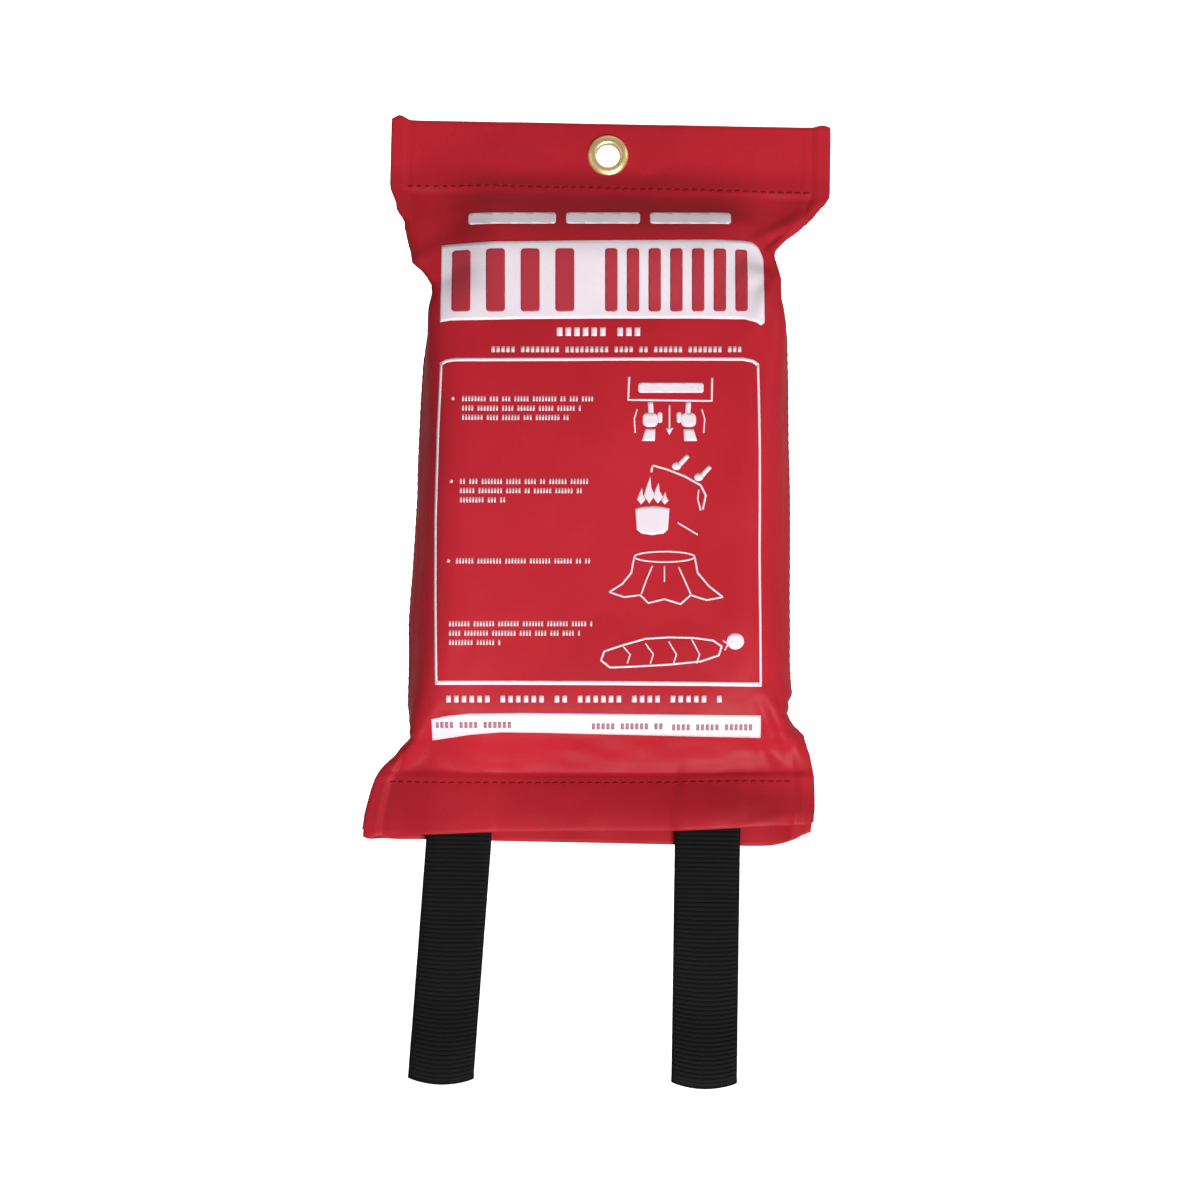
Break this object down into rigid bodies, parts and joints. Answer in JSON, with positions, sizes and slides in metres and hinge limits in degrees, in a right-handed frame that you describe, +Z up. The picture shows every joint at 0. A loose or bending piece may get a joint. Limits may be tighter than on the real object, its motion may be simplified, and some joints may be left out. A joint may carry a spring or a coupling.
{
  "type": "fire blanket",
  "caption": "Soft wall-hung fire blanket pack: a coated fabric pouch with an eyelet and an open bottom mouth, a folded glass-fibre blanket inside and hanging webbing pull straps.",
  "frame": {"origin": "centre of the pouch's flat back face, in the plane of that face", "axes": "+Z up the pouch towards the header and eyelet, +Y out of the back towards the wall, the printed front faces -Y, +X to the right seen from the front"},
  "size_m": [0.1716, 0.0355, 0.3692],
  "materials": {
    "pouch_fabric": "semi-gloss coated",
    "pouch_lip_fabric": "semi-gloss coated",
    "pouch_seam": "semi-gloss coated",
    "thread_red": "matte",
    "eyelet_brass": "polished",
    "loop_tape": "matte",
    "hook_tape": "matte",
    "glass_fibre_blanket": "satin woven",
    "webbing_black": "matte ribbed",
    "thread_black": "matte"
  },
  "bodies": {
    "pouch": {"front_panel": "pouch_fabric", "back_panel": "pouch_fabric", "front_lower_panel": "pouch_fabric", "back_mouth_lip": "pouch_lip_fabric", "left_side_seam": "pouch_seam", "right_side_seam": "pouch_seam", "header_stitch_front": "thread_red", "header_stitch_back": "thread_red", "back_lip_stitch": "thread_red", "eyelet": "eyelet_brass", "eyelet_washer": "eyelet_brass", "hook_tape": "hook_tape"},
    "front_lip": {"front_mouth_lip": "pouch_lip_fabric", "front_lip_stitch": "thread_red", "loop_tape": "loop_tape"},
    "blanket": {"folded_blanket": "glass_fibre_blanket", "left_strap_sewn_end": "webbing_black", "left_strap_box_stitch": "thread_black", "left_strap_bar_tack": "thread_black", "right_strap_sewn_end": "webbing_black", "right_strap_box_stitch": "thread_black", "right_strap_bar_tack": "thread_black"},
    "left_strap": {"left_strap_hanging_loop": "webbing_black"},
    "right_strap": {"right_strap_hanging_loop": "webbing_black"}
  },
  "joints": [
    {"name": "mouth_open", "type": "hinge", "parent": "pouch", "child": "front_lip", "pos_m": [0, -0.021, -0.1051], "axis": [-1, 0, 0], "range_deg": [0, 35]},
    {"name": "blanket_pull", "type": "slide", "parent": "pouch", "child": "blanket", "axis": [0, 0, -1], "range_m": [0, 0.225], "deforming": ["front_lower_panel", "front_mouth_lip", "back_mouth_lip", "loop_tape", "hook_tape", "front_lip_stitch", "back_lip_stitch"]},
    {"name": "left_strap_swing", "type": "hinge", "parent": "blanket", "child": "left_strap", "pos_m": [-0.048, -0.0174, -0.1342], "axis": [-1, 0, 0], "range_deg": [-7, 90]},
    {"name": "right_strap_swing", "type": "hinge", "parent": "blanket", "child": "right_strap", "pos_m": [0.048, -0.0174, -0.1342], "axis": [-1, 0, 0], "range_deg": [-7, 90]}
  ]
}
